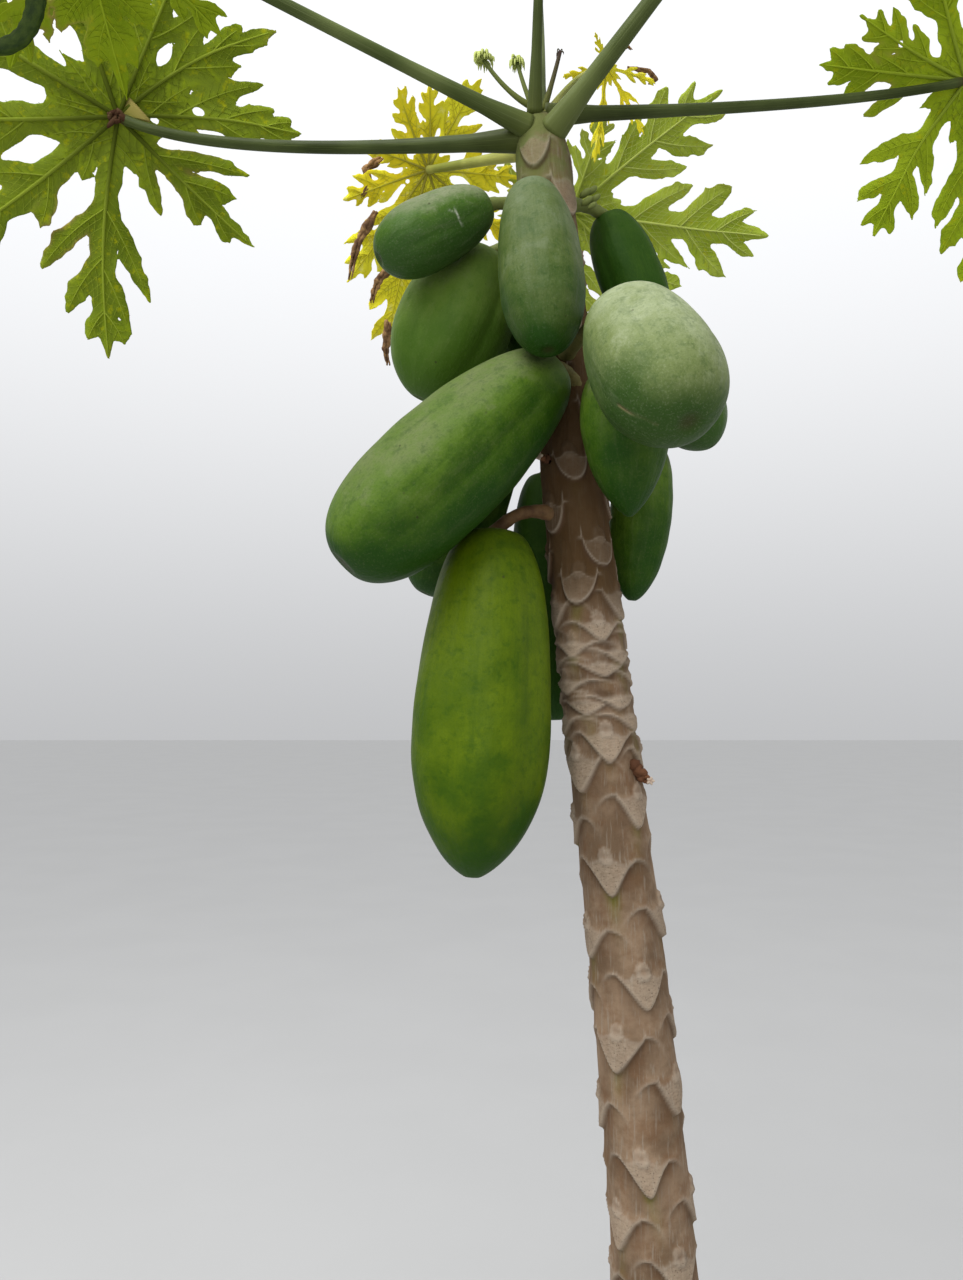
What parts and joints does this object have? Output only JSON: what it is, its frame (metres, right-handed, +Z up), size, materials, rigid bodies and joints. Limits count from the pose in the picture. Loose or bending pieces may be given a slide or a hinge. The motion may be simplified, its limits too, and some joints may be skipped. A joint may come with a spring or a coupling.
{
  "type": "papaya tree",
  "caption": "Fruiting papaya tree: one leaning unbranched trunk marked with leaf scars, large hanging green fruit under a crown of long-stalked deeply lobed leaves.",
  "frame": {"origin": "middle of the flat cut under the trunk, at ground level", "axes": "+Z up, -Y toward the viewer of the picture, +X to the viewer's right"},
  "size_m": [1.9023, 1.3356, 3.0267],
  "materials": {
    "bark": "rough grey-brown bark with paler leaf scars",
    "stalk": "smooth satin green",
    "leaf": "matt leaf with pale ribs",
    "yellow_leaf": "matt yellowing leaf with brown tips",
    "young_leaf": "matt pale green",
    "fruit": "waxy satin green skin"
  },
  "bodies": {
    "root": {"bare_young_stalk": "young_leaf", "blade_back": "leaf", "blade_front": "leaf", "blade_high_back": "leaf", "blade_high_right": "leaf", "blade_left": "leaf", "blade_right": "leaf", "blade_upper_left": "leaf", "blade_upper_right": "leaf", "blade_wilted": "yellow_leaf", "blade_yellow": "yellow_leaf", "fruit_back_left": "fruit", "fruit_far_right": "fruit", "fruit_front_right": "fruit", "fruit_long_left": "fruit", "fruit_low_back": "fruit", "fruit_low_right": "fruit", "fruit_lowest": "fruit", "fruit_mid_back": "fruit", "fruit_mid_left": "fruit", "fruit_top_back": "fruit", "fruit_top_front": "fruit", "fruit_top_left": "fruit", "fruit_top_right": "fruit", "fruit_under_right": "fruit", "stalk_back": "stalk", "stalk_front": "stalk", "stalk_high_back": "stalk", "stalk_high_right": "stalk", "stalk_left": "stalk", "stalk_right": "stalk", "stalk_upper_left": "stalk", "stalk_upper_right": "stalk", "stalk_wilted": "stalk", "stalk_yellow": "stalk", "trunk": "bark", "young_leaf_left": "young_leaf", "young_leaf_mid": "young_leaf"}
  },
  "joints": []
}
